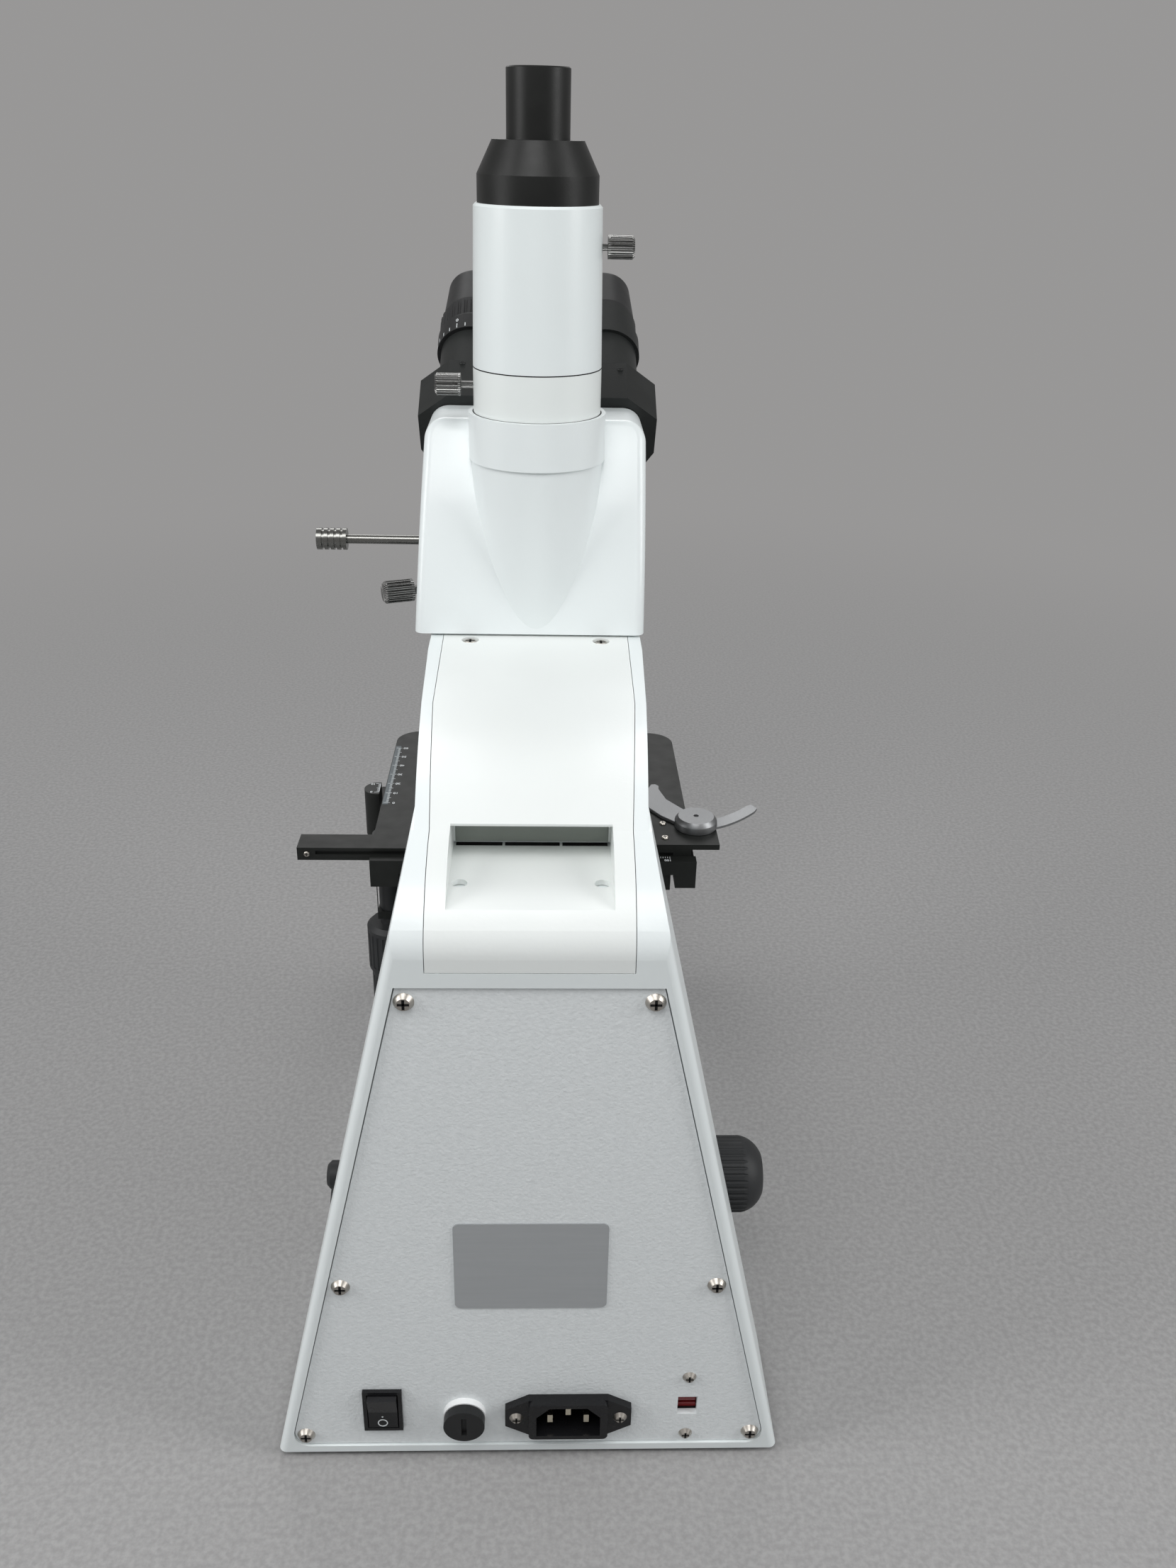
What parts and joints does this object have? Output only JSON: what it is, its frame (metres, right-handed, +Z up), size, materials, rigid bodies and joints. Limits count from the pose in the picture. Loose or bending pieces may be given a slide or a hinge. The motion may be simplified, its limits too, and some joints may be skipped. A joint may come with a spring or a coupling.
{
  "type": "compound microscope",
  "caption": "Upright trinocular compound microscope: wedge-shaped stand with a carry opening, mechanical stage, tilted nosepiece and a vertical camera tube.",
  "frame": {"origin": "the point of the bench plane straight below the optical axis of the objective in use", "axes": "+Z up along the optical axis, -Y towards the user, +X the user's right"},
  "size_m": [0.2059, 0.3717, 0.4909],
  "materials": {
    "stand_paint": "painted gloss",
    "cover_paint": "painted gloss",
    "panel_paint": "textured",
    "plated_screws": "polished",
    "black_plastic": "satin",
    "white_plastic": "gloss",
    "red_plastic": "gloss",
    "pin_brass": "polished",
    "foot_rubber": "matte",
    "black_metal": "satin",
    "lens_glass": "clear",
    "bare_aluminium": "satin",
    "board_plastic": "matte",
    "bright_steel": "satin",
    "objective_chrome": "polished"
  },
  "bodies": {
    "stand": {"stand_casting": "stand_paint", "handle_cover": "cover_paint", "case_screws": "plated_screws", "rear_panel": "panel_paint", "fitting_screws": "plated_screws", "power_inlet": "black_plastic", "inlet_pins": "pin_brass", "switch_housing": "black_plastic", "fuse_holder": "white_plastic", "selector_body": "black_plastic", "base_plate": "panel_paint", "feet": "foot_rubber", "field_lens_ring": "black_metal", "field_lens": "lens_glass", "lamp_module": "bare_aluminium", "power_board": "board_plastic", "focus_rails": "bright_steel", "nosepiece_mount": "bare_aluminium"},
    "rocker": {"switch_rocker": "black_plastic"},
    "fuse_plug": {"fuse_cap": "black_plastic"},
    "selector": {"selector_slider": "red_plastic"},
    "brightness": {"brightness_knob": "black_plastic"},
    "coarse_drive": {"coarse_shaft": "bright_steel", "coarse_knobs": "black_plastic"},
    "fine_drive": {"fine_shaft": "bright_steel", "fine_knobs": "black_plastic"},
    "tension": {"tension_ring": "black_plastic"},
    "stage_carrier": {"focus_carrier": "black_metal", "stage_base_plate": "black_metal"},
    "stage_deck": {"stage_top_plate": "black_metal", "drive_housing": "black_metal"},
    "slide_holder": {"x_rack_bar": "black_metal", "holder_plate": "black_metal"},
    "finger": {"slide_finger": "bright_steel"},
    "y_drive": {"y_knob": "black_plastic"},
    "x_drive": {"x_knob": "black_plastic"},
    "condenser": {"condenser_carrier": "black_metal", "condenser_body": "black_metal", "condenser_lens": "lens_glass"},
    "condenser_drive": {"condenser_knob": "black_plastic"},
    "iris": {"iris_lever": "black_metal"},
    "filter": {"filter_holder": "black_metal"},
    "nosepiece": {"turret": "black_metal", "objective_4x": "objective_chrome", "objective_10x": "objective_chrome", "objective_40x": "objective_chrome", "objective_100x": "objective_chrome"},
    "head": {"head_box": "stand_paint", "tube_sleeve": "cover_paint"},
    "head_lock": {"head_lock_screw": "bright_steel"},
    "light_path": {"light_path_rod": "objective_chrome"},
    "photo_tube": {"upper_tube": "stand_paint"},
    "adapter": {"camera_adapter": "black_metal"},
    "low_thumbscrew": {"thumbscrew_low": "objective_chrome"},
    "high_thumbscrew": {"thumbscrew_high": "objective_chrome"},
    "right_wing": {"wing_right": "black_metal"},
    "left_wing": {"wing_left": "black_metal"},
    "diopter": {"diopter_ring": "black_plastic"},
    "right_eyepiece": {"eyepiece_right": "black_plastic"},
    "left_eyepiece": {"eyepiece_left": "black_plastic"}
  },
  "joints": [
    {"name": "rocker_tilt", "type": "hinge", "parent": "stand", "child": "rocker", "pos_m": [0.0563, 0.2221, 0.0263], "axis": [1, 0, 0], "range_deg": [0, 14]},
    {"name": "fuse_cap_turn", "type": "hinge", "parent": "stand", "child": "fuse_plug", "pos_m": [0.0249, 0.2205, 0.0236], "axis": [0, 1, 0], "range_deg": [0, 45]},
    {"name": "selector_slide", "type": "slide", "parent": "stand", "child": "selector", "axis": [0, 0, 1], "range_m": [0, 0.0038]},
    {"name": "brightness_turn", "type": "hinge", "parent": "stand", "child": "brightness", "pos_m": [0.0846, 0.104, 0.022], "axis": [1, 0, 0], "range_deg": [0, 270]},
    {"name": "stage_lift", "type": "slide", "parent": "stand", "child": "stage_carrier", "axis": [0, 0, 1], "range_m": [-0.025, 0.006]},
    {"name": "coarse_turn", "type": "hinge", "parent": "stand", "child": "coarse_drive", "pos_m": [0, 0.137, 0.067], "axis": [1, 0, 0], "range_deg": [-60, 240]},
    {"name": "fine_turn", "type": "hinge", "parent": "coarse_drive", "child": "fine_drive", "pos_m": [0, 0.137, 0.067], "axis": [1, 0, 0], "continuous": true},
    {"name": "tension_turn", "type": "hinge", "parent": "stand", "child": "tension", "pos_m": [0.045, 0.137, 0.067], "axis": [1, 0, 0], "range_deg": [0, 60]},
    {"name": "stage_y", "type": "slide", "parent": "stage_carrier", "child": "stage_deck", "axis": [0, 1, 0], "range_m": [-0.035, 0.005]},
    {"name": "y_knob_turn", "type": "hinge", "parent": "stage_deck", "child": "y_drive", "pos_m": [0.066, 0.046, 0.15], "axis": [0, 0, 1], "range_deg": [-270, 45]},
    {"name": "stage_x", "type": "slide", "parent": "stage_deck", "child": "slide_holder", "axis": [1, 0, 0], "range_m": [-0.01, 0.045]},
    {"name": "x_knob_turn", "type": "hinge", "parent": "stage_deck", "child": "x_drive", "pos_m": [0.066, 0.046, 0.11], "axis": [0, 0, 1], "range_deg": [-345, 77]},
    {"name": "finger_open", "type": "hinge", "parent": "slide_holder", "child": "finger", "pos_m": [-0.0724, 0.048, 0.1895], "axis": [0, 0, 1], "range_deg": [-25, 0], "stiffness_Nm_per_rad": 0.03},
    {"name": "condenser_lift", "type": "slide", "parent": "stage_carrier", "child": "condenser", "axis": [0, 0, 1], "range_m": [-0.02, 0]},
    {"name": "condenser_knob_turn", "type": "hinge", "parent": "condenser", "child": "condenser_drive", "pos_m": [-0.03, 0.0744, 0.134], "axis": [1, 0, 0], "range_deg": [0, 192]},
    {"name": "iris_turn", "type": "hinge", "parent": "condenser", "child": "iris", "pos_m": [0, 0, 0.132], "axis": [0, 0, 1], "range_deg": [-30, 30]},
    {"name": "filter_swing", "type": "hinge", "parent": "condenser", "child": "filter", "pos_m": [0.027, 0, 0.118], "axis": [0, 0, 1], "range_deg": [0, 100]},
    {"name": "nosepiece_turn", "type": "hinge", "parent": "stand", "child": "nosepiece", "pos_m": [0, 0.02348, 0.24299], "axis": [0, -0.2079, 0.9781], "continuous": true},
    {"name": "head_turn", "type": "hinge", "parent": "stand", "child": "head", "pos_m": [0, 0, 0.271], "axis": [0, 0, 1], "continuous": true},
    {"name": "head_lock_turn", "type": "hinge", "parent": "head", "child": "head_lock", "pos_m": [0.0542, 0.012, 0.287], "axis": [0.9397, 0.342, 0], "continuous": true},
    {"name": "light_path_slide", "type": "slide", "parent": "head", "child": "light_path", "axis": [1, 0, 0], "range_m": [-0.015, 0]},
    {"name": "photo_tube_turn", "type": "hinge", "parent": "head", "child": "photo_tube", "pos_m": [0, 0, 0.3809], "axis": [0, 0, 1], "continuous": true},
    {"name": "adapter_slide", "type": "slide", "parent": "photo_tube", "child": "adapter", "axis": [0, 0, 1], "range_m": [0, 0.025]},
    {"name": "low_thumbscrew_turn", "type": "hinge", "parent": "head", "child": "low_thumbscrew", "pos_m": [0.032, 0, 0.373], "axis": [1, 0, 0], "continuous": true},
    {"name": "high_thumbscrew_turn", "type": "hinge", "parent": "photo_tube", "child": "high_thumbscrew", "pos_m": [-0.0282, 0, 0.4276], "axis": [1, 0, 0], "continuous": true},
    {"name": "wing_spread", "type": "hinge", "parent": "head", "child": "right_wing", "pos_m": [0, -0.058, 0.3248], "axis": [0, -0.866, 0.5], "range_deg": [-32.6, 16.2]},
    {"name": "wing_spread_left", "type": "hinge", "parent": "head", "child": "left_wing", "pos_m": [0, -0.058, 0.3248], "axis": [0, -0.866, 0.5], "range_deg": [-16.2, 32.6]},
    {"name": "diopter_turn", "type": "hinge", "parent": "right_wing", "child": "diopter", "pos_m": [0.032, -0.09971, 0.37255], "axis": [0, -0.866, 0.5], "range_deg": [-90, 90]},
    {"name": "eyepiece_right_slide", "type": "slide", "parent": "right_wing", "child": "right_eyepiece", "axis": [0, -0.866, 0.5], "range_m": [0, 0.016]},
    {"name": "eyepiece_left_slide", "type": "slide", "parent": "left_wing", "child": "left_eyepiece", "axis": [0, -0.866, 0.5], "range_m": [0, 0.016]}
  ],
  "couplings": [
    {"joint": "coarse_turn", "follows": "stage_lift", "rad_per_m": -166.67},
    {"joint": "y_knob_turn", "follows": "stage_y", "rad_per_m": 133.33},
    {"joint": "x_knob_turn", "follows": "stage_x", "rad_per_m": -133.33},
    {"joint": "condenser_knob_turn", "follows": "condenser_lift", "rad_per_m": -166.67},
    {"joint": "wing_spread_left", "follows": "wing_spread", "ratio": -1}
  ]
}
